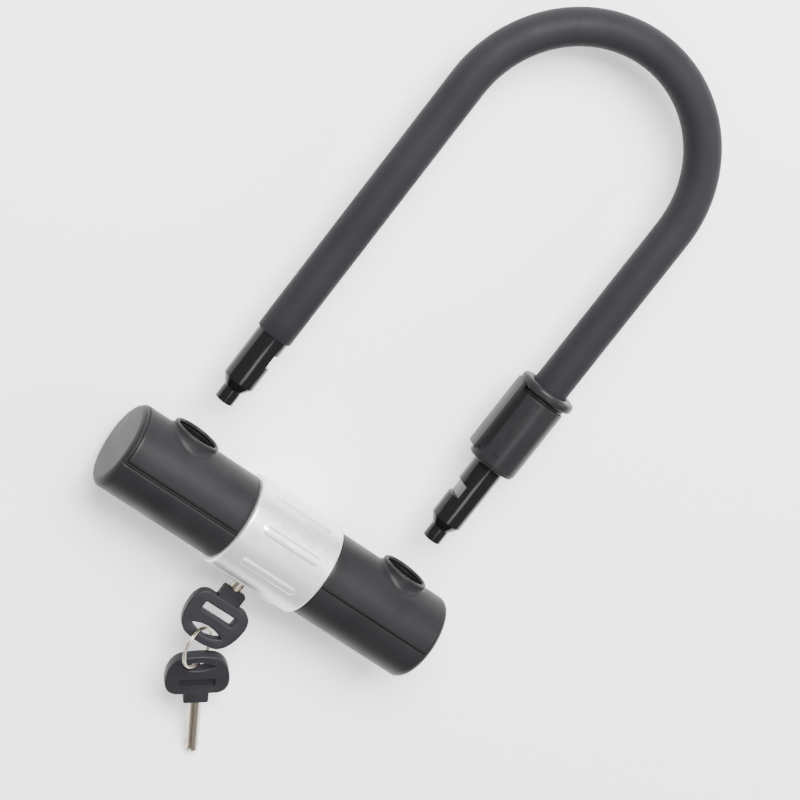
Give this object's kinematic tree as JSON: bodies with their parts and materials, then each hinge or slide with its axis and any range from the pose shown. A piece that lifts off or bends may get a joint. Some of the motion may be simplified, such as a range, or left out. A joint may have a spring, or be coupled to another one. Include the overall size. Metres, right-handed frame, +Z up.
{
  "type": "u lock",
  "caption": "Keyed bicycle U-lock: a coated steel shackle that slides into two sockets of a crossbar with plastic covers and a silver collar; keys on a ring.",
  "frame": {"origin": "under the middle of the whole lock's box, on the surface it lies on", "axes": "+X along the crossbar towards the sleeved leg, +Y from the crossbar towards the bow of the shackle, +Z up from the surface the lock lies on"},
  "size_m": [0.161, 0.369, 0.043],
  "materials": {
    "cover_plastic": "satin moulded black",
    "satin_silver": "satin silver",
    "vinyl": "matte black vinyl",
    "black_steel": "gloss black",
    "sleeve_plastic": "semi-gloss black",
    "plain_steel": "plain zinc-plated steel",
    "brass": "machined brass",
    "guide_plastic": "natural nylon",
    "key_plastic": "fine-grained black",
    "nickel": "warm nickel plate"
  },
  "bodies": {
    "crossbar": {"crossbar_tube": "plain_steel", "collar_sleeve": "satin_silver", "cover_left_upper": "cover_plastic", "cover_left_lower": "cover_plastic", "cover_right_upper": "cover_plastic", "cover_right_lower": "cover_plastic", "socket_liner_left": "vinyl", "socket_liner_right": "vinyl", "lock_housing": "brass", "housing_pin": "plain_steel", "keyway_bezel": "plain_steel", "bolt_guide_left": "guide_plastic", "bolt_guide_right": "guide_plastic"},
    "core": {"lock_core": "brass", "detainer_disc_1": "brass", "detainer_disc_2": "brass", "detainer_disc_3": "brass", "detainer_disc_4": "brass", "detainer_disc_5": "brass", "detainer_disc_6": "brass", "lock_cam": "plain_steel"},
    "bolt_left": {"bolt_left": "plain_steel"},
    "bolt_right": {"bolt_right": "plain_steel"},
    "shackle": {"shackle_rod": "black_steel", "shackle_coating": "vinyl"},
    "carrier": {"carrier_sleeve": "sleeve_plastic"},
    "key_a": {"key_a_bow": "key_plastic", "key_a_blade": "nickel"},
    "ring": {"key_ring": "nickel"},
    "key_b": {"key_b_bow": "key_plastic", "key_b_blade": "nickel"}
  },
  "joints": [
    {"name": "shackle_slide", "type": "slide", "parent": "crossbar", "child": "shackle", "axis": [0, -1, 0], "range_m": [0, 0.0555]},
    {"name": "carrier_turn", "type": "hinge", "parent": "shackle", "child": "carrier", "pos_m": [0.0552, 0.01868, 0.0215], "axis": [0, 1, 0], "range_deg": [-180, 180]},
    {"name": "core_turn", "type": "hinge", "parent": "crossbar", "child": "core", "pos_m": [0, -0.09132, 0.0215], "axis": [0, -1, 0], "range_deg": [0, 90]},
    {"name": "bolt_right_slide", "type": "slide", "parent": "crossbar", "child": "bolt_right", "axis": [1, 0, 0], "range_m": [0, 0.0045]},
    {"name": "bolt_left_slide", "type": "slide", "parent": "crossbar", "child": "bolt_left", "axis": [-1, 0, 0], "range_m": [0, 0.0045]},
    {"name": "key_a_pull", "type": "slide", "parent": "core", "child": "key_a", "axis": [0, -1, 0], "range_m": [0, 0.045]},
    {"name": "ring_turn", "type": "hinge", "parent": "key_a", "child": "ring", "pos_m": [0.00228, -0.13697, 0.02205], "axis": [0.6904, 0.262, 0.6743], "range_deg": [-20, 20]},
    {"name": "key_b_swing", "type": "hinge", "parent": "ring", "child": "key_b", "pos_m": [0.00769, -0.14384, 0.01919], "axis": [0.422, 0.6113, -0.6695], "range_deg": [-15, 15]}
  ],
  "couplings": [
    {"joint": "core_turn", "follows": "bolt_right_slide", "rad_per_m": 349},
    {"joint": "bolt_left_slide", "follows": "bolt_right_slide", "ratio": 1}
  ]
}
